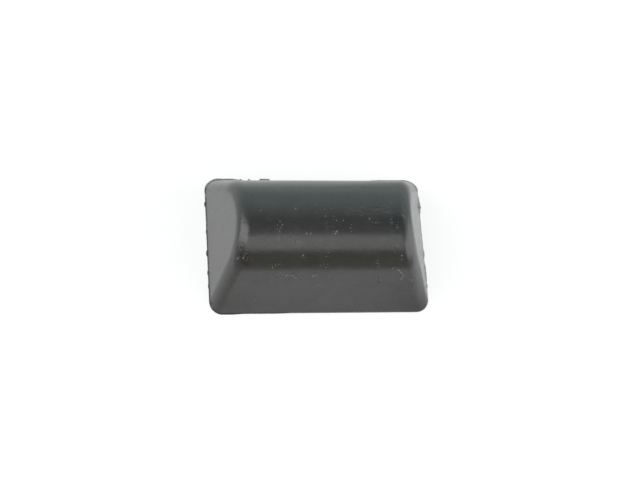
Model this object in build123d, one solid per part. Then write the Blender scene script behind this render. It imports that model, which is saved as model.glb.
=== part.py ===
from build123d import *

import math
import os

# Rubber buffer: one moulded block that a lid, a seat or a flap comes to rest on.
#
# The block lies with its flat base face down and +Z points up. The origin is the middle of the base face,
# X runs along the block and Y across it. Sizes are in millimetres and angles in degrees.
#
# It is one piece of solid rubber, pressed in a mould whose lower plate is flat. Seen from one end, the
# section is two leaning walls that run without an edge into one full round along the top, the crown. The
# two end walls lean in as well, so that the block comes out of its mould, and every edge above the base is
# well rounded. At the foot of the walls a narrow upright land is left, where the two halves of the mould
# meet, so that the edge of the base isn't a feather of rubber that tears off.

# The block as a whole
LENGTH = 45.0  # base face, along X
WIDTH = 30.0  # base face, along Y
HEIGHT = 16.0  # from the base face to the top of the crown

# Its form
CROWN_RADIUS = 11.5  # the full round along the top
END_DRAFT = 19.0  # lean of the two end walls, from upright
EDGE_RADIUS = 3.0  # the edges of the end walls, round the crown and down the four hips
LAND_HEIGHT = 0.4  # the upright strip round the base face


def across_section():
    """The section across the block, above the land: a leaning wall on each side of the crown.

    The walls are the tangents from the top of the land to the crown's circle, so their lean follows from
    the width, the height and the crown's radius.
    """
    crown_centre = Vector(0, HEIGHT - CROWN_RADIUS)
    right_foot = Vector(WIDTH / 2, LAND_HEIGHT)
    centre_to_foot = right_foot - crown_centre
    foot_bearing = math.degrees(math.atan2(centre_to_foot.Y, centre_to_foot.X))
    foot_to_tangent = math.degrees(math.acos(CROWN_RADIUS / centre_to_foot.length))
    right_tangent = crown_centre + Vector(CROWN_RADIUS, 0).rotate(Axis.Z, foot_bearing + foot_to_tangent)
    crown_top = Vector(0, HEIGHT)

    right_wall = Line(right_foot, right_tangent)
    left_wall = mirror(right_wall, about=Plane.YZ)
    left_tangent = Vector(-right_tangent.X, right_tangent.Y)
    crown = ThreePointArc(right_tangent, crown_top, left_tangent)
    base = Line(Vector(-right_foot.X, right_foot.Y), right_foot)
    return Plane.YZ * make_face(Curve() + [base, right_wall, crown, left_wall])


def along_section():
    """The section along the block, above the land: level on top, with an end wall leaning in at each end."""
    lean = (HEIGHT - LAND_HEIGHT) * math.tan(math.radians(END_DRAFT))
    corners = [
        (-LENGTH / 2, LAND_HEIGHT),
        (LENGTH / 2, LAND_HEIGHT),
        (LENGTH / 2 - lean, HEIGHT),
        (lean - LENGTH / 2, HEIGHT),
    ]
    return Plane.XZ * make_face(Polyline(corners, close=True))


def moulded_block():
    """The block: what both sections have in common, its end edges rounded, standing on the land."""
    bar = extrude(across_section(), amount=LENGTH / 2, both=True)
    body = bar & extrude(along_section(), amount=WIDTH / 2, both=True)

    foot = body.faces().sort_by(Axis.Z)[0]
    foot_edges = foot.edges()
    end_walls = [body.faces().sort_by(Axis.X)[0], body.faces().sort_by(Axis.X)[-1]]
    end_edges = [edge for wall in end_walls for edge in wall.edges() if edge not in foot_edges]
    body = fillet(end_edges, EDGE_RADIUS)

    rounded_foot = body.faces().sort_by(Axis.Z)[0]
    block = body + extrude(rounded_foot, amount=LAND_HEIGHT)
    block.label = "buffer"
    return block


os.makedirs("parts", exist_ok=True)
buffer = moulded_block()
size = buffer.bounding_box().size
print(f"buffer: {size.X:.2f} x {size.Y:.2f} x {size.Z:.2f} mm, {buffer.volume:.0f} mm3, {len(buffer.faces())} faces")
export_step(buffer, "parts/buffer.step")
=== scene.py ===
# %% [markdown]
# # A moulded rubber buffer
#
# The object is one block of dark rubber that was pressed in a mould: a flat rectangular base, four leaning
# walls and a full round along the top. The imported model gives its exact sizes, and this lesson dresses it:
# a fine skin made by a formula, the ragged rim of flash left where the mould closed, and a satin rubber
# finish with the dust, nicks and scuffs that rubber picks up.

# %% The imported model
import math

import bmesh
import bpy
from mathutils import Matrix, Vector


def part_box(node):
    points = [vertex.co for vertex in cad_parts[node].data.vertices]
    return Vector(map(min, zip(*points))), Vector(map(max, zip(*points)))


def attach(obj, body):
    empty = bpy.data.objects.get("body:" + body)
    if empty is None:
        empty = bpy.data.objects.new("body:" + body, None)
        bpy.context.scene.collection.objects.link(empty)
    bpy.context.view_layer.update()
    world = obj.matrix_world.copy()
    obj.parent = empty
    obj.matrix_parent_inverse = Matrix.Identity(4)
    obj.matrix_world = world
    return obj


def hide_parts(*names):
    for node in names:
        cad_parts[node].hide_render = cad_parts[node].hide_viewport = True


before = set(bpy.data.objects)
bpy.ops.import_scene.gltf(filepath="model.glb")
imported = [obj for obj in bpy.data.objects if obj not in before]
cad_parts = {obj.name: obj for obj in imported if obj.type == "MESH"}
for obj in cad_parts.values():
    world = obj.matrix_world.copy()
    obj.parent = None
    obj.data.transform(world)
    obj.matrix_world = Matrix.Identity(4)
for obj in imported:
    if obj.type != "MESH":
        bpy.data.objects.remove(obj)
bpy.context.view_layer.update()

low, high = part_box("buffer")
MM = 0.001
length, width, height = high - low
print(f"the block is {length / MM:.1f} x {width / MM:.1f} x {height / MM:.1f} mm")

# %% [markdown]
# ## Formulas as nodes
#
# A node tree can hold a formula, but one Math node for every plus sign is tedious to read. Here one socket
# is wrapped so that Python's own + - * / put the Math nodes into the tree. The same wrapper serves geometry
# trees and shader trees, because both use the same Math node.

# %% A socket that can be written into a formula
class Field:
    """A number that varies over a surface, as one output socket of a node tree."""

    def __init__(self, tree, socket):
        self.tree, self.socket = tree, socket

    def math(self, operation, *values):
        """A Math node. A value of None stands for this Field, and without one this Field comes first."""
        node = self.tree.nodes.new("ShaderNodeMath")
        node.operation = operation
        values = values if None in values else (None, *values)
        for socket, value in zip(node.inputs, values):
            plug(socket, self if value is None else value)
        return Field(self.tree, node.outputs[0])

    def __add__(self, other):
        return self.math("ADD", other)

    def __sub__(self, other):
        return self.math("SUBTRACT", other)

    def __rsub__(self, other):
        return self.math("SUBTRACT", other, None)

    def __mul__(self, other):
        return self.math("MULTIPLY", other)

    def __truediv__(self, other):
        return self.math("DIVIDE", other)

    def __rtruediv__(self, other):
        return self.math("DIVIDE", other, None)

    def squared(self):
        return self * self

    def root(self):
        return self.math("MAXIMUM", 0.0).math("SQRT")

    def size(self):
        return self.math("ABSOLUTE")

    def at_least(self, other):
        return self.math("MAXIMUM", other)

    def at_most(self, other):
        return self.math("MINIMUM", other)

    def sine(self):
        return self.math("SINE")

    def cosine(self):
        return self.math("COSINE")

    def tangent(self):
        return self.math("TANGENT")

    def arcsine(self):
        return self.math("ARCSINE")

    def lean_over(self, rise):
        """The angle from upright of a line that goes this far across and that far up."""
        return self.math("ARCTAN2", rise)

    def sign(self):
        return self.math("SIGN")

    def above(self, other):
        """1 where this is greater than other, and 0 elsewhere."""
        return self.math("GREATER_THAN", other)

    def choose(self, where_one, where_zero):
        """where_one where this is 1, and where_zero where it is 0."""
        return self * (where_one - where_zero) + where_zero

    def ramp(self, start, end):
        """0 up to start, 1 from end on, and a smooth rise between them. Start may be larger than end."""
        node = self.tree.nodes.new("ShaderNodeMapRange")
        node.interpolation_type = "SMOOTHSTEP"
        for label, value in (("Value", self), ("From Min", start), ("From Max", end)):
            plug(node.inputs[label], value)
        return Field(self.tree, node.outputs[0])


def plug(socket, value):
    """Links a Field or a socket to a node's input, or sets a plain value on it."""
    if isinstance(value, Field):
        value = value.socket
    if isinstance(value, bpy.types.NodeSocket):
        socket.id_data.links.new(value, socket)
    else:
        socket.default_value = value


def add_node(tree, kind, inputs, output=0, **settings):
    """A node with its settings and its named inputs, and one of its outputs."""
    node = tree.nodes.new(kind)
    for name, value in settings.items():
        setattr(node, name, value)
    for label, value in inputs.items():
        plug(node.inputs[label], value)
    return node.outputs[output]


def new_tree(name, kind, inputs, outputs):
    """A node tree with named input and output sockets, and its inputs as a dictionary of Fields."""
    tree = bpy.data.node_groups.new(name, kind)
    for label, socket_type in inputs.items():
        tree.interface.new_socket(label, in_out="INPUT", socket_type=socket_type)
    for label, socket_type in outputs.items():
        tree.interface.new_socket(label, in_out="OUTPUT", socket_type=socket_type)
    entry = tree.nodes.new("NodeGroupInput")
    return tree, {label: Field(tree, entry.outputs[label]) for label in inputs}


def parts_of(tree, vector):
    """The x, y and z of a vector socket, as Fields."""
    node = tree.nodes.new("ShaderNodeSeparateXYZ")
    plug(node.inputs[0], vector)
    return [Field(tree, socket) for socket in node.outputs]


def vector_of(tree, x=0.0, y=0.0, z=0.0):
    """A vector socket from three numbers or Fields."""
    return add_node(tree, "ShaderNodeCombineXYZ", {"X": x, "Y": y, "Z": z})


def noise(tree, place, patch, detail=2.0, roughness=0.5):
    """Cloudy noise from about -0.5 to 0.5. patch is the size of its patches along x, y and z."""
    share = tuple(1.0 / side for side in patch)
    spread = add_node(tree, "ShaderNodeVectorMath", {0: place, 1: share}, operation="MULTIPLY")
    settings = {"Vector": spread, "Scale": 1.0, "Detail": detail, "Roughness": roughness}
    return Field(tree, add_node(tree, "ShaderNodeTexNoise", settings)) - 0.5


def add_object(name, data):
    """A new object in the scene, at the origin."""
    thing = bpy.data.objects.new(name, data)
    bpy.context.scene.collection.objects.link(thing)
    return thing


# %% [markdown]
# ## The skin of the block
#
# Every wall of the block leans inwards, because it had to come out of its mould. So, seen from above, no
# part of it hides another, and its whole upper skin is one height over each point of the base. That height
# is the lower of two: the bar's, whose section is two slopes and a round, and the end wall's. Where the
# two meet, a ball rolled along the corner gives the round edge.
#
# A grid of points with that height is made by Geometry Nodes, because the shape follows a rule, and because
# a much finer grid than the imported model's gives smooth reflections. The same tree adds the slight waves
# that a mould leaves, and it writes down two things for the finish: how far each point is round the bar,
# as if the skin were unrolled, and how deep it lies in the rounded edge.

# %% The sizes of the skin
SIZES = {
    "Length": length,
    "Width": width,
    "Height": height,
    "Crown radius": 11.5 * MM,
    "End draft": math.radians(19.0),
    "Edge radius": 3.0 * MM,
    "Land height": 0.4 * MM,
}


def wall_lean(sizes):
    """The slope of the long walls, from level: the tangent from the foot of a wall to the crown."""
    across = sizes["Width"] / 2
    up = sizes["Height"] - sizes["Crown radius"] - sizes["Land height"]
    to_centre = math.hypot(across, up)
    return math.atan2(up, across) + math.asin(sizes["Crown radius"] / to_centre)


SIZES["Wall slope"] = wall_lean(SIZES)
print(f"the long walls slope {math.degrees(SIZES['Wall slope']):.1f} degrees from level")

# %% The ball rolled along the corner
def rolled_ball(given, off, end_height, passes=3):
    """The height of a ball that touches the bar and the end wall, over points that are off the middle.

    The bar's round is taken as its flat tangent where the ball touches it. The first guess of that place
    is straight below the point, and each pass finds the ball's centre and moves the place to it. The ball
    touches two flats, so its height is the upper root of a quadratic, p z^2 - 2 q z + r = 0.
    """
    ball, crown, slope = given["Edge radius"], given["Crown radius"], given["Wall slope"]
    end_sin = given["End draft"].sine()
    axis = given["Height"] - crown
    lean = (off / crown).at_most(1.0).arcsine().at_most(slope)
    for _ in range(passes):
        up, out = lean.cosine(), lean.sine()
        meet = up * end_sin
        apart = 1.0 - meet.squared()
        bar_room = crown - ball - off * out + axis * up
        end_room = end_height * end_sin - ball
        p = up.squared() + end_sin.squared() - meet.squared() * 2.0
        q = bar_room * up + end_room * end_sin - meet * (bar_room * end_sin + end_room * up)
        r = bar_room.squared() + end_room.squared() - meet * bar_room * end_room * 2.0
        r = r - ball.squared() * apart
        z = (q + (q.squared() - p * r).root()) / p
        past_bar, past_end = bar_room - z * up, end_room - z * end_sin
        along_bar = (past_bar - meet * past_end) / apart
        along_end = (past_end - meet * past_bar) / apart
        centre_off = off + along_bar * out
        centre_up = z + along_bar * up + along_end * end_sin
        lean = centre_off.lean_over(centre_up - axis).at_most(slope)
    return z


# %% The rule for the upper skin
# A point counts as fully in the rounded edge once the ball has cut it this deep below both faces
ROUNDED_DEPTH = 0.12 * MM


def skin_height(given, off, end_height):
    """The height of the skin, and how deep in the rounded edge it lies, from 0 to 1."""
    ball, crown, slope = given["Edge radius"], given["Crown radius"], given["Wall slope"]
    end_sin = given["End draft"].sine()
    axis = given["Height"] - crown
    lean = (off / crown).at_most(1.0).arcsine().at_most(slope)
    bar_height = axis + (crown - off * lean.sine()) / lean.cosine()
    ball_height = rolled_ball(given, off, end_height)
    on_bar = ((end_height - bar_height) * end_sin).above(ball * (1.0 - lean.cosine() * end_sin))
    centre_rise = end_height - ball * end_sin - axis
    centre_lean = off.lean_over(centre_rise).at_most(slope)
    bar_room = crown - off * centre_lean.sine() - centre_rise * centre_lean.cosine()
    on_end = bar_room.above(ball)
    z = on_bar.choose(bar_height, on_end.choose(end_height, ball_height))
    rounded = (bar_height - z).at_most(end_height - z) / ROUNDED_DEPTH
    return z.at_least(given["Land height"]), rounded.at_least(0.0).at_most(1.0)


def outline_reach(given, off):
    """How much of the rolling ball is left where the base ends, which gives the base its round corners."""
    ball, slope = given["Edge radius"], given["Wall slope"]
    meet = slope.cosine() * given["End draft"].sine()
    foot_in = ball - (given["Width"] / 2.0 - off) * slope.sine()
    corner = foot_in * meet + ((1.0 - meet.squared()) * (ball.squared() - foot_in.squared())).root()
    return foot_in.above(ball * meet).choose(corner, ball)


# %% The tree that lays the skin
LONG_WAVES = (9.0 * MM, 3.0 * MM, 3.0 * MM)
SHORT_WAVES = (2.5 * MM, 1.2 * MM, 1.2 * MM)
SHORT_WAVE_SHARE = 0.25
# The waves fade out over this height above the land, so that the base stays true
WAVE_FADE = 1.5 * MM
# Points nearer than this are one point
WELD = 0.001 * MM


def finish_tree(tree, geometry, material):
    """Realizes the instances, so that the piece holds plain geometry, and sets the material.
    Realizes the instances and sets the material, because the export drops instances.
    """
    real = add_node(tree, "GeometryNodeRealizeInstances", {"Geometry": geometry})
    painted = add_node(tree, "GeometryNodeSetMaterial", {"Geometry": real, "Material": material})
    plug(tree.nodes.new("NodeGroupOutput").inputs[0], painted)


def skin_tree():
    """The tree that lays a grid over the block, lifts it to the rule's height and closes it below."""
    inputs = {label: "NodeSocketFloat" for label in (*SIZES, "Waves")}
    inputs.update({"Columns": "NodeSocketInt", "Rows": "NodeSocketInt", "Rubber": "NodeSocketMaterial"})
    tree, given = new_tree("moulded skin", "GeometryNodeTree", inputs, {"Skin": "NodeSocketGeometry"})
    half_length, half_width = given["Length"] / 2.0, given["Width"] / 2.0
    land, crown, slope = given["Land height"], given["Crown radius"], given["Wall slope"]
    draft = given["End draft"]

    # The grid spans half a turn each way. Evenly spaced angles, taken as sines, crowd the points towards
    # the edges, where the shape turns
    counts = {"Vertices X": given["Columns"], "Vertices Y": given["Rows"]}
    grid = add_node(tree, "GeometryNodeMeshGrid", {**counts, "Size X": math.pi, "Size Y": math.pi}, "Mesh")
    column, row, _ = parts_of(tree, tree.nodes.new("GeometryNodeInputPosition").outputs[0])
    y = row.sine() * half_width
    off = y.size()
    x = column.sine() * (half_length - (given["Edge radius"] - outline_reach(given, off)) / draft.cosine())
    end_height = land + (half_length - x.size()) / draft.tangent()
    z, rounded = skin_height(given, off, end_height)
    on_round = (off / crown).at_most(slope.sine()).arcsine()
    round_bar = on_round * crown + (off - crown * slope.sine()).at_least(0.0) / slope.cosine()
    unrolled = vector_of(tree, x, y.sign() * round_bar)
    place = vector_of(tree, x, y, z)

    long_waves = noise(tree, place, LONG_WAVES, detail=1.0)
    short_waves = noise(tree, place, SHORT_WAVES, detail=1.0)
    faded = ((z - land) / WAVE_FADE).at_most(1.0)
    wave = (long_waves + short_waves * SHORT_WAVE_SHARE) * given["Waves"] * faded

    skin = grid
    for name, kind, value in (("unrolled", "FLOAT_VECTOR", unrolled), ("rounded", "FLOAT", rounded)):
        values = {"Geometry": skin, "Name": name, "Value": value}
        skin = add_node(tree, "GeometryNodeStoreNamedAttribute", values, data_type=kind, domain="POINT")
    moved = {"Geometry": skin, "Position": place, "Offset": vector_of(tree, z=wave)}
    skin = add_node(tree, "GeometryNodeSetPosition", moved)

    # The land: the rim goes straight down to the base, and the base is filled in
    rim = tree.nodes.new("GeometryNodeInputMeshEdgeNeighbors").outputs[0]
    on_rim = add_node(tree, "FunctionNodeCompare", {2: rim, 3: 1}, data_type="INT", operation="EQUAL")
    drop = {"Mesh": skin, "Selection": on_rim, "Offset": vector_of(tree, z=land * -1.0)}
    walls = add_node(tree, "GeometryNodeExtrudeMesh", drop, "Mesh", mode="EDGES")
    outline = {"Mesh": walls, "Selection": walls.node.outputs["Top"]}
    foot = add_node(tree, "GeometryNodeMeshToCurve", outline)
    base = add_node(tree, "GeometryNodeFillCurve", {"Curve": foot}, mode="NGONS")
    both = add_node(tree, "GeometryNodeJoinGeometry", {"Geometry": walls})
    plug(both.node.inputs["Geometry"], base)
    whole = add_node(tree, "GeometryNodeMergeByDistance", {"Geometry": both, "Distance": WELD})
    finish_tree(tree, whole, given["Rubber"])
    return tree


def from_tree(name, tree, values):
    """A plain mesh object from a geometry tree, with its inputs set by their sockets' identifiers."""
    maker = add_object(name + " maker", bpy.data.meshes.new(name + " start"))
    modifier = maker.modifiers.new(name, "NODES")
    modifier.node_group = tree
    for item in tree.interface.items_tree:
        if item.in_out == "INPUT":
            modifier[item.identifier] = values[item.name]
    made = maker.evaluated_get(bpy.context.evaluated_depsgraph_get())
    mesh = bpy.data.meshes.new_from_object(made)
    mesh.name = name
    bpy.data.objects.remove(maker)
    piece = add_object(name, mesh)
    print(f"{name}: {len(mesh.vertices)} points, {len(mesh.polygons)} faces")
    return piece


# %% Make the skin
rubber = bpy.data.materials.new("satin rubber")
SKIN = {**SIZES, "Columns": 321, "Rows": 241, "Waves": 0.03 * MM, "Rubber": rubber}
skin = from_tree("buffer_skin", skin_tree(), SKIN)
skin.data.shade_smooth()
skin.data.set_sharp_from_angle(angle=math.radians(14))
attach(skin, "root")
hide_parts("buffer")

# %% [markdown]
# ## The ragged rim
#
# Where the two halves of a mould close, some rubber creeps out between them. It is trimmed off by hand, and
# a ragged rim of flash stays round the base: mostly a hair's breadth, with a few nibs and some longer webs
# that the knife missed.
#
# It could be modelled by pushing points about, but it is one section that follows one path with a changing
# width, and that is work for Geometry Nodes. A grid is wrapped round the outline: its columns go along the
# path and its four rows round the section. The width is a thin rim, plus noise, plus the webs in the list.

# %% The flash
def stroke(x, y, start, end):
    """How far a point is from a straight stroke between two points, all in one flat plane."""
    (from_x, from_y), (to_x, to_y) = start, end
    run_x, run_y = to_x - from_x, to_y - from_y
    span = max(run_x * run_x + run_y * run_y, 1e-12)
    along = ((x - from_x) * run_x + (y - from_y) * run_y) / span
    along = along.at_least(0.0).at_most(1.0)
    return ((x - from_x - along * run_x).squared() + (y - from_y - along * run_y).squared()).root()


# Each web runs between two places on the rim, stands out that far, fades over that length beyond its ends,
# and is pale, grey or dark; dark is also painted shade where the rim lies in shade. In mm.
PALE, GREY, DARK = 1.0, 0.5, 0.0
WEBS = [
    ((-19.5, 15), (19.5, 15), 0.03, 1.5, GREY),
    ((-21.8, 14.2), (-20.0, 15), 0.34, 1.6, GREY),
    ((-20.0, 15), (-16.8, 15), 0.62, 2.4, GREY),
    ((-14.9, 15), (-14.9, 15), 0.56, 0.5, GREY),
    ((-13.2, 15), (-13.1, 15), 0.56, 0.3, GREY),
    ((-10.8, 15), (-8.9, 15), 0.58, 0.2, GREY),
    ((-15.0, 15), (-8.5, 15), 0.14, 2.0, GREY),
    ((15.0, 15), (20.0, 15), 0.34, 3.5, GREY),
    ((20.0, 15), (22.0, 13.6), 0.36, 1.5, GREY),
    ((22.5, 12.0), (22.5, -10.5), 0.08, 1.5, PALE),
    ((22.5, 9.2), (22.5, 9.2), 0.44, 2.4, PALE),
    ((22.5, 8.8), (22.5, 8.9), 0.52, 0.3, GREY),
    ((22.5, -1.6), (22.5, -2.2), 0.24, 0.8, PALE),
    ((22.5, -5.0), (22.5, -7.8), 0.22, 1.0, PALE),
    ((22.5, -9.2), (22.5, -9.3), 0.28, 0.7, PALE),
    ((22.5, -10.5), (22.5, -12.2), 0.05, 1.0, PALE),
    ((22.5, -12.2), (20.2, -15.0), 0.01, 1.5, PALE),
    ((-8.0, -15), (20.0, -15), 0.01, 2.0, GREY),
    # The dark webs at the front left and along the left end are painted shade, where the rim lies in shade
    ((-20.6, -15), (-17.8, -15), 0.22, 2.6, DARK),
    ((-16.0, -15), (-9.0, -15), 0.08, 3.0, DARK),
    ((-22.5, 12.7), (-22.5, 12.8), 0.10, 0.5, DARK),
    ((-22.5, 9.4), (-22.5, 9.7), 0.22, 0.5, DARK),
    ((-22.5, 3.2), (-22.5, 3.3), 0.10, 0.6, DARK),
    ((-22.5, -1.4), (-22.5, -1.8), 0.22, 0.5, DARK),
    ((-22.5, -5.9), (-22.5, -6.1), 0.13, 0.6, DARK),
    ((-22.5, -8.9), (-22.5, -9.0), 0.10, 0.5, DARK),
]

# A power under 1 makes a web rise steeply at its sides, as torn rubber does
WEB_BLUNTNESS = 0.6
TEARS = 0.9 * MM
# The top of the flash is tucked this far into the wall, and its lip is never thinner than this
TUCK = 0.03 * MM
THINNEST = 0.01 * MM


def flash_tree():
    """The tree that wraps a grid round the outline and widens it where a web stands."""
    sizes = ("Length", "Width", "Corner radius", "Inset", "Rim", "Raggedness", "Wall height", "Web thickness")
    inputs = {label: "NodeSocketFloat" for label in sizes}
    inputs.update({"Steps": "NodeSocketInt", "Rubber": "NodeSocketMaterial"})
    tree, given = new_tree("mould flash", "GeometryNodeTree", inputs, {"Flash": "NodeSocketGeometry"})

    sides = {"Width": given["Length"], "Height": given["Width"]}
    path = add_node(tree, "GeometryNodeCurvePrimitiveQuadrilateral", sides)
    rounding = {"Curve": path, "Radius": given["Corner radius"], "Count": 12}
    path = add_node(tree, "GeometryNodeFilletCurve", rounding, mode="POLY")

    counts = {"Vertices X": given["Steps"], "Vertices Y": 5, "Size X": 1.0, "Size Y": 4.0}
    grid = add_node(tree, "GeometryNodeMeshGrid", counts, "Mesh")
    step, row, _ = parts_of(tree, tree.nodes.new("GeometryNodeInputPosition").outputs[0])
    sample = tree.nodes.new("GeometryNodeSampleCurve")
    sample.mode = "FACTOR"
    plug(sample.inputs["Curves"], path)
    plug(sample.inputs["Factor"], step + 0.5)
    x, y, _ = parts_of(tree, sample.outputs["Position"])
    run_x, run_y, _ = parts_of(tree, sample.outputs["Tangent"])
    outwards = (x * run_y - y * run_x).sign()
    out_x, out_y = run_y * outwards, run_x * outwards * -1.0

    # Each web widens the rim where it stands and gives it its own tone
    reach, web = given["Rim"], given["Rim"] * DARK
    for start, end, stands, fade, tone in WEBS:
        share = (1.0 - stroke(x / MM, y / MM, start, end) / fade).at_least(0.0)
        reach = reach.at_least(share.math("POWER", WEB_BLUNTNESS) * (stands * MM))
        web = share.ramp(0.0, 0.3).choose(tone, web)
    torn = noise(tree, sample.outputs["Position"], (TEARS,) * 3, detail=4.0, roughness=0.65)
    reach = (reach + torn * (given["Raggedness"] + reach * 0.5)).at_least(THINNEST)

    # Rows -2 and 2 are the inner foot, -1 the outer foot, 0 the outer lip and 1 the top, against the wall
    outer = 1.0 - (row + 0.5).size().above(0.75)
    raised = 1.0 - (row - 0.5).size().above(0.75)
    at_wall = 1.0 - (row - 1.0).size().above(0.25)
    sideways = outer.choose(reach, at_wall.choose(-TUCK, given["Inset"] * -1.0))
    # A wide web is thin, and a narrow rim slopes down from higher up the wall
    narrow = (reach / MM).ramp(0.40, 0.15)
    lip = given["Web thickness"] + (given["Wall height"] - given["Web thickness"]) * narrow * 0.6
    z = raised * at_wall.choose(given["Wall height"], lip)
    place = vector_of(tree, x + out_x * sideways, y + out_y * sideways, z)
    stored = {"Geometry": grid, "Name": "web", "Value": web * outer.at_least(at_wall)}
    flash = add_node(tree, "GeometryNodeStoreNamedAttribute", stored, data_type="FLOAT", domain="POINT")
    flash = add_node(tree, "GeometryNodeSetPosition", {"Geometry": flash, "Position": place})
    flash = add_node(tree, "GeometryNodeMergeByDistance", {"Geometry": flash, "Distance": WELD})
    finish_tree(tree, flash, given["Rubber"])
    return tree


# %% Make the flash
torn_rubber = bpy.data.materials.new("torn rubber")
FLASH = {
    "Length": length,
    "Width": width,
    "Corner radius": 2.75 * MM,
    "Inset": 0.3 * MM,
    "Rim": 0.01 * MM,
    "Raggedness": 0.06 * MM,
    "Wall height": 0.43 * MM,
    "Web thickness": 0.12 * MM,
    "Steps": 1201,
    "Rubber": torn_rubber,
}
flash = from_tree("mould_flash", flash_tree(), FLASH)
shell = bmesh.new()
shell.from_mesh(flash.data)
bmesh.ops.recalc_face_normals(shell, faces=shell.faces)
open_edges = sum(not edge.is_manifold for edge in shell.edges)
shell.to_mesh(flash.data)
shell.free()
flash.data.shade_smooth()
flash.data.set_sharp_from_angle(angle=math.radians(35))
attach(flash, "root")
print("open edges in the flash:", open_edges)

# %% [markdown]
# ## Effects that both finishes share
#
# The moulded skin and the torn rim are the same rubber, so they share two shader groups. One gives the
# cloudy unevenness of the compound. The other scatters grains of dust: a cell pattern has one point in each
# cell, a grain sits on some of those points, and its size follows the cell's own random number.

# %% The shared shader groups
def cloudy_group():
    """A shade around 1 that drifts up and down by Amount over patches of the size Patch."""
    inputs = {"Place": "NodeSocketVector", "Patch": "NodeSocketFloat", "Amount": "NodeSocketFloat"}
    tree, given = new_tree("cloudy compound", "ShaderNodeTree", inputs, {"Shade": "NodeSocketFloat"})
    closer = 1.0 / given["Patch"]
    spread = vector_of(tree, closer, closer, closer)
    place = add_node(tree, "ShaderNodeVectorMath", {0: given["Place"], 1: spread}, operation="MULTIPLY")
    shade = noise(tree, place, (1.0, 1.0, 1.0), detail=4.0, roughness=0.6) * given["Amount"] + 1.0
    plug(tree.nodes.new("NodeGroupOutput").inputs[0], shade)
    return tree


def dust_group():
    """Round grains: one in each cell of the size Spacing, and only in this Share of the cells."""
    inputs = {"Place": "NodeSocketVector"}
    inputs.update({label: "NodeSocketFloat" for label in ("Spacing", "Grain", "Share")})
    tree, given = new_tree("dust grains", "ShaderNodeTree", inputs, {"Grains": "NodeSocketFloat"})
    settings = {"Vector": given["Place"], "Scale": 1.0 / given["Spacing"]}
    cells = add_node(tree, "ShaderNodeTexVoronoi", settings, "Distance")
    chance, big, _ = parts_of(tree, cells.node.outputs["Color"])
    size = given["Grain"] / given["Spacing"] * (big * 0.8 + 0.4)
    grain = (Field(tree, cells) / size).ramp(1.0, 0.5)
    plug(tree.nodes.new("NodeGroupOutput").inputs[0], grain * given["Share"].above(chance))
    return tree


def use_group(tree, group, inputs):
    """One use of a shared group, and what it gives."""
    node = tree.nodes.new("ShaderNodeGroup")
    node.node_tree = group
    for label, value in inputs.items():
        plug(node.inputs[label], value)
    return Field(tree, node.outputs[0])


def blended(tree, share, plain, other):
    """A colour that goes from plain to other as share goes from 0 to 1."""
    node = tree.nodes.new("ShaderNodeMix")
    node.data_type = "RGBA"
    for index, value in ((0, share), (6, plain), (7, other)):
        plug(node.inputs[index], value)
    return node.outputs[2]


def tinted(tree, colour, shade):
    """A colour made lighter or darker by a Field."""
    return add_node(tree, "ShaderNodeVectorMath", {0: colour, 3: shade}, operation="SCALE")


def fresh_shader(material):
    """The material's node tree and its Principled shader."""
    material.use_nodes = True
    return material.node_tree, material.node_tree.nodes["Principled BSDF"]


def raise_relief(tree, shader, relief):
    """Bumps a shader's surface by a relief in mm."""
    bump = {"Height": relief, "Strength": 1.0, "Distance": MM}
    plug(shader.inputs["Normal"], add_node(tree, "ShaderNodeBump", bump))


cloudy, dust = cloudy_group(), dust_group()
print("shared groups:", cloudy.name, "and", dust.name)

# %% [markdown]
# ## Satin rubber
#
# Moulded black rubber is a very dark grey with a soft shine: it copies the polish of its mould. Up close it
# is never even. The mould was milled along the bar, so the shine is streaked that way. Dust, scratches,
# nicks and rubbed patches have gathered on the crown and the front wall, and one corner is scuffed brown.
# Some dark spots beside the grains are painted shadows, a dark line along the left foot is painted shade,
# and fine light and dark lines along the crown are a painted reflection of ripples in the surface.
#
# The marks that can be told apart are placed one by one, on the unrolled skin, so a mark keeps its shape on
# the round as on the slope. The finer dust and the crumbs in the patches are scattered by the shared group.

# %% Places on the unrolled skin
def unroll(x, y):
    """Where a point of the bar lies when the skin is unrolled flat. All in mm."""
    crown, slope = SIZES["Crown radius"] / MM, SIZES["Wall slope"]
    turn = min(math.asin(min(abs(y) / crown, 1.0)), slope)
    down = max(abs(y) - crown * math.sin(slope), 0.0) / math.cos(slope)
    return x, math.copysign(crown * turn + down, y)


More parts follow.
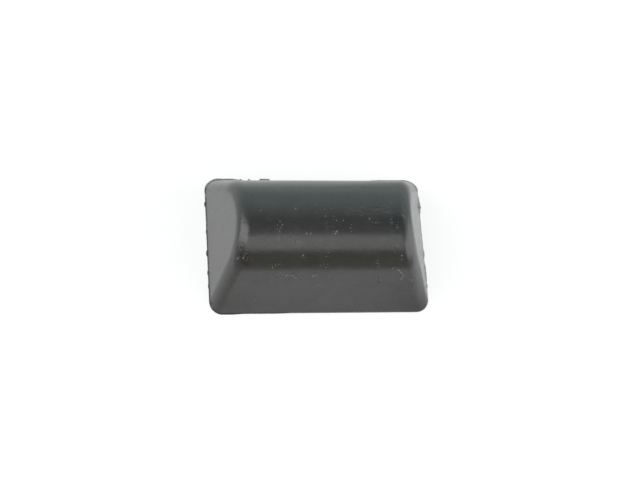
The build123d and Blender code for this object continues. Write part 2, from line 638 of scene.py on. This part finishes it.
# Grains of dust that stand out: place, radius and how pale, from 0 to 1. In mm.
GRAINS = [
    # On top of the round
    (-13.0, 0.3, 0.15, 0.35), (-11.1, -1.9, 0.12, 0.25), (-6.0, 0.7, 0.14, 0.45), (-1.8, 1.7, 0.13, 0.3),
    (-1.9, -0.2, 0.14, 0.4), (-0.2, 0.5, 0.12, 0.25), (1.2, 0.7, 0.13, 0.3), (-8.8, -2.7, 0.14, 0.65),
    (-9.2, -3.4, 0.12, 0.45), (-9.4, -4.0, 0.13, 0.6), (-4.0, -4.4, 0.21, 0.42), (-3.2, -4.4, 0.19, 0.42),
    (1.4, -1.7, 0.12, 0.4), (2.0, -1.9, 0.13, 0.45), (3.4, -1.9, 0.12, 0.45), (2.0, -4.0, 0.16, 0.95),
    (1.7, -4.4, 0.2, 0.5), (5.0, -2.7, 0.11, 0.4), (5.0, -4.0, 0.11, 0.45), (8.7, -1.5, 0.19, 0.45),
    (7.1, -0.8, 0.1, 0.3), (13.1, -1.7, 0.13, 0.45), (14.1, -2.7, 0.12, 0.4), (14.3, -6.5, 0.15, 0.4),
    # Lower on the front of the round
    (13.7, -7.5, 0.11, 0.35), (15.2, -8.1, 0.13, 0.55), (-4.6, -8.0, 0.16, 0.9), (-5.0, -8.2, 0.11, 0.6),
    (0.4, -7.6, 0.14, 0.3),
    # Where the round meets the front wall, and on that wall
    (-0.3, -9.3, 0.12, 0.4), (0.3, -9.3, 0.12, 0.4), (0.2, -9.7, 0.13, 0.45), (-10.6, -9.7, 0.15, 0.85),
    (-9.1, -10.3, 0.12, 0.4), (-9.1, -10.6, 0.13, 0.5), (-9.6, -11.1, 0.14, 0.45),
    (-7.6, -10.6, 0.15, 0.65), (0.8, -10.8, 0.13, 0.45), (3.1, -10.2, 0.1, 0.3), (13.6, -9.9, 0.14, 0.6),
    (11.5, -11.3, 0.14, 0.5), (10.6, -11.1, 0.14, 0.3), (18.0, -11.3, 0.14, 0.55), (17.6, -10.2, 0.1, 0.4),
    (-13.5, -13.5, 0.15, 0.5),
    # In and round the scuffed corner, and on the left end
    (-17.6, -8.2, 0.2, 0.55), (-16.5, -8.4, 0.16, 0.95), (-15.7, -8.6, 0.11, 0.5), (-16.9, -7.1, 0.1, 0.5),
    (-16.3, -4.8, 0.12, 0.4),
]

# Short scratches and smears: two ends, half width and how pale. In mm.
SCRATCHES = [
    # On top of the round
    ((-9.7, -2.6), (-10.0, -3.8), 0.09, 0.28), ((-10.3, -3.0), (-10.5, -4.1), 0.07, 0.18),
    ((-8.7, -2.6), (-8.9, -3.0), 0.11, 0.4), ((-9.3, -3.3), (-9.5, -4.2), 0.07, 0.25),
    ((-9.6, -4.9), (-9.6, -5.6), 0.13, 0.4), ((-6.8, -4.9), (-6.8, -6.2), 0.13, 0.18),
    ((-7.6, -5.2), (-7.6, -6.0), 0.09, 0.18), ((-6.0, -5.8), (-5.2, -5.8), 0.15, 0.3),
    ((0.0, -1.9), (0.0, -3.4), 0.12, 0.12), ((9.2, -2.3), (9.8, -2.3), 0.1, 0.14),
    ((10.3, -2.3), (11.0, -2.3), 0.1, 0.12), ((15.3, -0.6), (15.9, -1.1), 0.14, 0.35),
    ((13.2, 2.5), (13.2, 1.8), 0.1, 0.22),
    # Lower on the front of the round
    ((-0.2, -8.2), (0.6, -8.2), 0.1, 0.2),
    # Where the round meets the front wall, and on that wall
    ((10.2, -9.2), (10.9, -9.2), 0.1, 0.35), ((10.6, -9.2), (10.7, -9.7), 0.1, 0.35),
    ((14.7, -10.0), (15.7, -10.5), 0.13, 0.95), ((15.7, -10.5), (16.0, -10.7), 0.13, 0.8),
    ((15.9, -10.8), (15.7, -11.2), 0.11, 0.55), ((-7.9, -10.7), (-6.4, -10.6), 0.12, 0.55),
    ((-6.5, -10.7), (-5.6, -11.0), 0.14, 0.65), ((-2.5, -10.7), (-1.6, -10.7), 0.13, 0.8),
    ((-1.6, -11.8), (-0.6, -11.8), 0.12, 0.35),
    # In and round the scuffed corner, and on the left end
    ((-21.4, 5.1), (-21.4, 6.8), 0.06, 0.12),
]

# Nicks and pits, and painted shadows beside some grains, which look dark: place and radius. In mm.
NICKS_AND_GRAIN_SHADOWS = [
    # On top of the round
    (-9.2, -2.1, 0.16), (-14.6, 3.7, 0.14), (-0.1, -1.0, 0.17), (1.5, -1.0, 0.16), (1.2, -4.4, 0.14),
    (4.8, -3.4, 0.18), (9.9, -2.3, 0.14), (13.1, -2.4, 0.22), (14.2, -3.3, 0.2),
    # Lower on the front of the round
    (-4.4, -8.3, 0.15), (10.4, -8.8, 0.16), (13.7, -7.0, 0.16), (15.4, -8.7, 0.2),
    # Where the round meets the front wall, and on that wall
    (-1.0, -9.5, 0.2), (-10.1, -9.3, 0.16), (-9.3, -9.3, 0.14), (-6.5, -10.4, 0.16), (-1.9, -10.3, 0.14),
    (1.5, -11.1, 0.14), (14.2, -9.8, 0.15), (11.1, -11.5, 0.15), (17.9, -11.7, 0.17),
    # In and round the scuffed corner, and on the left end
    (-16.3, -8.0, 0.2), (-15.9, -7.6, 0.16), (-16.9, -6.8, 0.17), (-16.3, -2.1, 0.13), (-17.0, -1.1, 0.13),
    (-18.7, -8.0, 0.12),
]

# Rubbed patches, full of crumbs: place, radius and how strong. In mm.
PATCHES = [
    # On top of the round
    (-9.5, -3.2, 1.0, 0.22), (1.9, -4.1, 0.7, 0.55), (15.6, -0.9, 0.8, 0.4), (14.0, -2.4, 0.9, 0.35),
    (15.3, -6.8, 0.8, 0.35), (1.4, -1.5, 0.8, 0.35),
    # Lower on the front of the round
    (14.9, -8.3, 0.9, 0.2),
    # Where the round meets the front wall, and on that wall
    (-9.2, -10.5, 1.2, 0.9), (-6.2, -10.7, 1.1, 0.9), (15.5, -10.5, 1.0, 0.9), (13.9, -9.8, 0.8, 0.8),
    (10.9, -11.2, 0.9, 0.75), (18.1, -11.3, 1.1, 0.85), (-10.2, -9.4, 0.9, 0.8), (-2.1, -10.7, 0.6, 0.85),
    (0.0, -9.5, 0.8, 0.4),
]
for name, places in (("grains", GRAINS), ("scratches", SCRATCHES), ("dark_spots", NICKS_AND_GRAIN_SHADOWS), ("patches", PATCHES)):
    print(len(places), name)

# %% The marks as masks
def marks(tree, place):
    """How pale, how dark and how rubbed a point of the unrolled skin is, each from 0 to 1."""
    across, around, _ = parts_of(tree, place)
    # The marks are drawn with a slightly shaky hand, so that no mark is a perfect disc or bar
    shaky = noise(tree, place, (0.35 * MM,) * 3, detail=1.0) * 0.35
    across, around = across / MM + shaky, around / MM - shaky
    here = vector_of(tree, across, around)

    def spot(x, y, radius):
        ends = {0: here, 1: (*unroll(x, y), 0.0)}
        away = add_node(tree, "ShaderNodeVectorMath", ends, "Value", operation="DISTANCE")
        return Field(tree, away).ramp(radius * 1.5, radius * 0.4)

    grains = lines = dark_spots = rubbed = across * 0.0
    for x, y, radius, tone in GRAINS:
        grains = grains.at_least(spot(x, y, radius) * tone)
    for start, end, half, tone in SCRATCHES:
        away = stroke(across, around, unroll(*start), unroll(*end))
        lines = lines.at_least(away.ramp(half * 1.8, half * 0.2) * tone)
    # Some of these dark spots are painted shadows beside grains
    for x, y, radius in NICKS_AND_GRAIN_SHADOWS:
        dark_spots = dark_spots.at_least(spot(x, y, radius))
    for x, y, radius, tone in PATCHES:
        rubbed = rubbed.at_least(spot(x, y, radius) * tone)
    # Scratches skip, so noise breaks them up
    broken = noise(tree, place, (0.30 * MM,) * 3, detail=2.0).ramp(-0.14, 0.10)
    return grains.at_least(lines * broken), dark_spots, rubbed


# %% The satin finish
RUBBER_GREY = (0.0440, 0.0440, 0.0433)
SMEAR_BROWN = (0.030, 0.020, 0.015, 1)
CRUMB_GREY = (0.22, 0.20, 0.18, 1)
SMUDGE_BLUE = (0.028, 0.030, 0.038, 1)
# Black for pits and for painted shade: the shadows beside grains, the line along the left foot and the dark
# lines of the painted ripple reflection
SHADE_AND_NICK_BLACK = (0.010, 0.010, 0.010, 1)
DUST_GREY = (0.30, 0.31, 0.31, 1)


def satin_rubber():
    """Builds the finish of the moulded skin, and counts its nodes."""
    tree, shader = fresh_shader(rubber)
    place = add_node(tree, "ShaderNodeTexCoord", {}, "Object")
    flat = add_node(tree, "ShaderNodeAttribute", {}, "Vector", attribute_name="unrolled")
    rounded = Field(tree, add_node(tree, "ShaderNodeAttribute", {}, "Fac", attribute_name="rounded"))
    across, around, _ = parts_of(tree, flat)
    across, around = across / MM, around / MM

    # Dust: the marks, finer grains that lie thicker in some places, and crumbs in the rubbed patches
    pale, dark, rubbed = marks(tree, flat)
    thick = noise(tree, place, (6 * MM, 4 * MM, 4 * MM), detail=3.0).ramp(-0.05, 0.25)
    fine = use_group(tree, dust, {"Place": place, "Spacing": 0.9 * MM, "Grain": 0.10 * MM, "Share": 0.35})
    coarse = use_group(tree, dust, {"Place": place, "Spacing": 2.4 * MM, "Grain": 0.16 * MM, "Share": 0.20})
    crumbs = use_group(tree, dust, {"Place": place, "Spacing": 0.36 * MM, "Grain": 0.13 * MM, "Share": 0.45})
    pale = pale.at_least((fine * 0.35 + coarse * 0.35) * thick).at_least(crumbs * rubbed)

    # Painted reflection: fine light and dark lines along the crown, a little way in from the right, stand for
    # ripples of the surface mirrored in the shine
    lines = noise(tree, place, (2.2 * MM, 0.38 * MM, 0.38 * MM), detail=1.5)
    rippled_band = stroke(across, around, (4.5, 0.5), (15.0, 0.2)).ramp(1.3, 0.4)
    pale = pale.at_least(lines.ramp(0.02, 0.18) * rippled_band * 0.13)
    dark = dark.at_least(lines.ramp(-0.04, -0.18) * rippled_band * 0.7)

    # The scuffed corner is a dark brown smear full of crumbs, and a bluish smudge lies at the other end
    frayed = noise(tree, place, (0.7 * MM,) * 3, detail=3.0) * 1.6
    corner = (stroke(across, around, unroll(-17.1, -6.2), unroll(-16.0, -9.0)) + frayed).ramp(1.3, 0.4)
    smudge = (stroke(across, around, unroll(14.3, -1.6), unroll(13.6, -2.8)) + frayed).ramp(1.1, 0.3)
    gaps = noise(tree, place, (0.40 * MM,) * 3, detail=2.0).ramp(0.0, 0.14)

    # Painted shade: a broken dark line along the foot of the left end, where the rim lies in shade
    _, _, up = parts_of(tree, place)
    shade_breaks = noise(tree, place, (1.6 * MM,) * 3, detail=2.0)
    foot = (up / MM + shade_breaks).ramp(1.25, 0.85) * across.ramp(-21.0, -21.8) * shade_breaks.ramp(-0.16, -0.02)

    clouds = use_group(tree, cloudy, {"Place": place, "Patch": 4.0 * MM, "Amount": 0.6})
    specks = use_group(tree, cloudy, {"Place": place, "Patch": 0.35 * MM, "Amount": 0.4})
    # The painted shade along the left foot is darkened here together with the dark marks
    darkened = dark.at_least(rubbed * gaps).at_least(foot)
    colour = tinted(tree, RUBBER_GREY, clouds * specks)
    colour = blended(tree, corner * 0.75, colour, SMEAR_BROWN)
    colour = blended(tree, corner * crumbs * 0.35, colour, CRUMB_GREY)
    colour = blended(tree, smudge * 0.6, colour, SMUDGE_BLUE)
    colour = blended(tree, darkened * 0.75, colour, SHADE_AND_NICK_BLACK)
    colour = blended(tree, pale * 0.9, colour, DUST_GREY)
    plug(shader.inputs["Base Color"], colour)

    # The polish is streaked along the bar, and every kind of mark dulls it
    streaks = noise(tree, place, (12 * MM, 0.5 * MM, 0.5 * MM), detail=3.0, roughness=0.6)
    blotches = noise(tree, place, (1.6 * MM,) * 3, detail=3.0)
    polish = streaks * 0.10 + blotches * 0.14 + rounded * 0.05 + 0.25
    # The painted shade along the left foot is rougher too, so it shows no shine
    rough = polish + pale * 0.4 + dark * 0.3 + foot * 0.4
    plug(shader.inputs["Roughness"], rough.at_least(0.12).at_most(0.9))
    # More than a plain plastic's 1.5, because this rubber mirrors its surroundings more strongly
    plug(shader.inputs["IOR"], 1.7)

    # Relief, in mm: a fine grain, the streaks and pits of the mould, nicks and crumbs
    grain = noise(tree, place, (0.12 * MM,) * 3, detail=2.0)
    pits = noise(tree, place, (0.7 * MM,) * 3, detail=3.0)
    relief = grain * 0.0012 + streaks * 0.004
    relief = relief + pits * (rounded * 0.018 + corner * 0.05 + 0.005)
    relief = relief - dark * 0.06 + corner * crumbs * 0.03
    raise_relief(tree, shader, relief)
    return len(tree.nodes)


print("satin rubber:", satin_rubber(), "nodes")

# %% [markdown]
# ## Torn rubber
#
# The rim was pulled and cut, not pressed against a polished mould, so it has no shine. Thin rubber that was
# stretched before it tore turns pale, and rubber that was cut clean stays dark. The dark tone is also painted
# shade: the rim is dark where it lies in shade, at the front left and along the left end. So each web in the
# list has its own tone, and the finish blends a dark and a pale colour by it.

# %% The torn finish
CUT_AND_SHADED_RUBBER = (0.065, 0.065, 0.063, 1)
STRETCHED_RUBBER = (0.50, 0.50, 0.49, 1)
RIM_DUST = (0.30, 0.30, 0.29, 1)


def torn_finish():
    """Builds the finish of the rim, and counts its nodes."""
    tree, shader = fresh_shader(torn_rubber)
    place = add_node(tree, "ShaderNodeTexCoord", {}, "Object")
    web = Field(tree, add_node(tree, "ShaderNodeAttribute", {}, "Fac", attribute_name="web"))
    clouds = use_group(tree, cloudy, {"Place": place, "Patch": 0.8 * MM, "Amount": 0.7})
    grains = use_group(tree, dust, {"Place": place, "Spacing": 0.5 * MM, "Grain": 0.12 * MM, "Share": 0.3})
    colour = tinted(tree, blended(tree, web, CUT_AND_SHADED_RUBBER, STRETCHED_RUBBER), clouds)
    colour = blended(tree, grains * 0.4, colour, RIM_DUST)
    plug(shader.inputs["Base Color"], colour)
    plug(shader.inputs["Roughness"], (clouds * 0.6).at_least(0.5).at_most(0.9))
    plug(shader.inputs["Specular IOR Level"], 0.15)
    raise_relief(tree, shader, noise(tree, place, (0.25 * MM,) * 3, detail=3.0) * 0.05 + grains * 0.03)
    return len(tree.nodes)


print("torn rubber:", torn_finish(), "nodes")

# %% [markdown]
# ## The camera
#
# The camera looks down on the block from its front left, steeply, and is rolled a little so that the block
# lies level in view. One helper places it and the lamps, because all of them look in at the block.

# %% The camera
def facing_in(azimuth, elevation, roll, distance):
    """A place on a sphere round the block that looks in at its middle. Angles are in degrees.

    Azimuth turns from the front, -Y, towards the right, +X. Elevation goes up. Roll turns the thing
    anticlockwise, as it is seen by someone who stands behind it and looks at the block.
    """
    azimuth, elevation, roll = (math.radians(angle) for angle in (azimuth, elevation, roll))
    out = Vector((
        math.sin(azimuth) * math.cos(elevation),
        -math.cos(azimuth) * math.cos(elevation),
        math.sin(elevation),
    ))
    level = Vector((math.cos(azimuth), math.sin(azimuth), 0))
    turned = Matrix.Rotation(roll, 3, out) @ Matrix((level, out.cross(level), out)).transposed()
    return Matrix.Translation(Vector((0, 0, height / 2)) + out * distance) @ turned.to_4x4()


camera = add_object("camera", bpy.data.cameras.new("camera"))
camera.data.lens = 97.2
bpy.context.scene.camera = camera
# The middle of the block sits a little above the middle of the view
aside = Matrix.Translation((-0.13 * MM, -2.17 * MM, 0))
camera.matrix_world = facing_in(azimuth=-18.8, elevation=63.3, roll=16.8, distance=350 * MM) @ aside
print("the camera is", round(camera.location.length / MM), "mm from the middle of the base")

# %% [markdown]
# ## The light
#
# A dark, shiny block shows its surroundings more than its own colour, so the lamps are shapes to be
# reflected. One soft panel stands on the left, one low on the right and one in front. A panel's brightness
# is given as a radiance, in which 1 is the white of paper, so the lamps can be compared with the floor.

# %% Soft panels
PANELS_AWAY = 1.0


def softbox(name, azimuth, elevation, wide, tall, radiance, roll=0.0, tint=(1.0, 1.0, 1.0)):
    """A rectangular panel that faces the block. Its angles are as seen from the block, in degrees."""
    panel = bpy.data.lights.new(name, "AREA")
    panel.shape = "RECTANGLE"
    panel.size = 2 * PANELS_AWAY * math.tan(math.radians(wide / 2))
    panel.size_y = 2 * PANELS_AWAY * math.tan(math.radians(tall / 2))
    panel.energy = radiance * math.pi * panel.size * panel.size_y
    panel.color = tint
    lamp = add_object(name, panel)
    lamp.matrix_world = facing_in(azimuth, elevation, roll, PANELS_AWAY)
    return lamp


left = softbox("left softbox", azimuth=281, elevation=46, wide=36, tall=64, radiance=2.33, roll=-36)
right = softbox("right softbox", azimuth=70, elevation=23, wide=74, tall=36, radiance=1.75, roll=-26)
GREENISH = (0.98, 1.00, 0.97)
front = softbox("front softbox", azimuth=357, elevation=53.5, wide=34, tall=31, radiance=1.30, tint=GREENISH)
for lamp in (left, right, front):
    print(f"{lamp.name}: {lamp.data.energy:.2f} W")

# %% [markdown]
# ## Floor and room
#
# The block lies on white paper in a dim room. The walls mirror the paper and the round mirrors the room, so
# the look of the rubber depends on how bright each place round it is. A real sheet is lit unevenly by the
# lamps: here its mirrored glow is brightest beside the two ends, weaker in front, and fades with distance,
# with a dim place behind the left end and another off the front right corner. The room is brightest behind
# the block, cool there and warmer in front.
#
# This uneven glow is only for mirror rays. To the camera the paper and the room are plain white, and the
# paper keeps the block's soft shadow.

# %% The floor
half_side = 3.0
sheet = bpy.data.meshes.new("floor")
corners = [(side * half_side, end * half_side, 0) for side, end in ((-1, -1), (1, -1), (1, 1), (-1, 1))]
sheet.from_pydata(corners, [], [(0, 1, 2, 3)])
floor = add_object("floor", sheet)
paper = bpy.data.materials.new("white paper")
sheet.materials.append(paper)

tree, shader = fresh_shader(paper)
# The paper is grey to the lamps, so that its shadow is faint, and its own glow makes it white in view
settings = {"Base Color": (0.35, 0.35, 0.35, 1), "Roughness": 1.0, "Specular IOR Level": 0.0}
for label, value in {**settings, "Emission Color": (1, 1, 1, 1)}.items():
    plug(shader.inputs[label], value)
GLOW_IN_VIEW = 0.75
ray = tree.nodes.new("ShaderNodeLightPath")
seen, mirrored = (Field(tree, ray.outputs[kind]) for kind in ("Is Camera Ray", "Is Glossy Ray"))

# %% The paper's mirrored glow, in mm from the middle of the block
x, y, _ = parts_of(tree, add_node(tree, "ShaderNodeTexCoord", {}, "Object"))
x, y = x / MM, y / MM


def near(value, middle, outer, inner):
    """1 up to the distance inner from the middle, and 0 from the distance outer on."""
    return (value - middle).size().ramp(outer, inner)


beside_left = x.ramp(-2.0, -28.0) * y.ramp(-27.0, -11.0)
far_left = x.ramp(-40.0, -75.0) * y.ramp(-160.0, -80.0)
to_the_left = far_left.at_least(beside_left)

beside_right = near(x, 31.0, 19.0, 8.0) * near(y, 9.0, 17.0, 7.0)
at_right_foot = x.ramp(31.0, 25.0) * x.ramp(21.5, 22.5) * y.ramp(-16.0, -9.0) * y.ramp(20.0, 8.0)
far_right = x.ramp(23.0, 40.0) * y.ramp(-75.0, -10.0) * y.ramp(30.0, 8.0)
to_the_right = far_right.at_least(beside_right * 0.43).at_least(at_right_foot * 0.45)

well_in_front = y.ramp(-15.0, -50.0)
in_front = near(x, 1.0, 26.0, 6.0).at_least(well_in_front) * 0.30 + well_in_front * 0.22

behind_left = x.ramp(-20.0, -30.0) * y.ramp(11.0, 25.0)
off_the_corner = near(x, 24.0, 8.0, 4.0) * near(y, -33.0, 17.0, 9.0)
dimmer = behind_left * 0.35 + off_the_corner * 0.14

nearby = y.ramp(-140.0, -50.0)
glow = nearby * (to_the_left * 0.6 + to_the_right * 0.85 + in_front - dimmer + 0.285) + 0.08
plug(shader.inputs["Emission Strength"], seen * GLOW_IN_VIEW + mirrored * glow)
print("white paper:", len(tree.nodes), "nodes")

# %% The room
WHITE = (1.00, 1.00, 1.00, 1)
COOL_WALL = (0.85, 0.99, 1.00, 1)
WARM_WALL = (0.99, 1.00, 0.50, 1)

world = bpy.data.worlds.new("room")
bpy.context.scene.world = world
world.use_nodes = True
tree = world.node_tree
seen = Field(tree, add_node(tree, "ShaderNodeLightPath", {}, "Is Camera Ray"))

# x, y and z are the parts of the direction that a ray looks in
x, y, z = parts_of(tree, add_node(tree, "ShaderNodeTexCoord", {}, "Generated"))
to_the_front = y * -1.0
behind = ((y - z * 0.3 + 0.15) * 1.47).at_least(0.0).at_most(1.0)
horizon = (1.0 - z.size() / 0.3).at_least(0.0) * ((y + 0.9) * 2.0).at_least(0.3).at_most(1.0)
upper_right = x.ramp(0.25, 0.75) * z.ramp(1.0, 0.6) * z.ramp(0.42, 0.62)
overhead = to_the_front.ramp(0.0, 0.2) * z.ramp(0.90, 0.96)
front_wall = to_the_front.ramp(0.2, 0.8) * z.ramp(0.75, 0.4)
low_in_front = to_the_front.ramp(0.6, 0.9) * near(z, 0.24, 0.18, 0.08)
dim = behind * 0.63 + horizon * 0.35 + upper_right * 0.65 + overhead * 0.08 + 0.02
dim = dim + front_wall * 0.06 + low_in_front * 0.07

tints = blended(tree, front_wall, COOL_WALL, WARM_WALL)
plug(tree.nodes["Background"].inputs["Color"], blended(tree, seen, tints, WHITE))
plug(tree.nodes["Background"].inputs["Strength"], seen.choose(1.0, dim))
print("room:", len(tree.nodes), "nodes")

# %% The view transform
bpy.context.scene.view_settings.view_transform = "Standard"
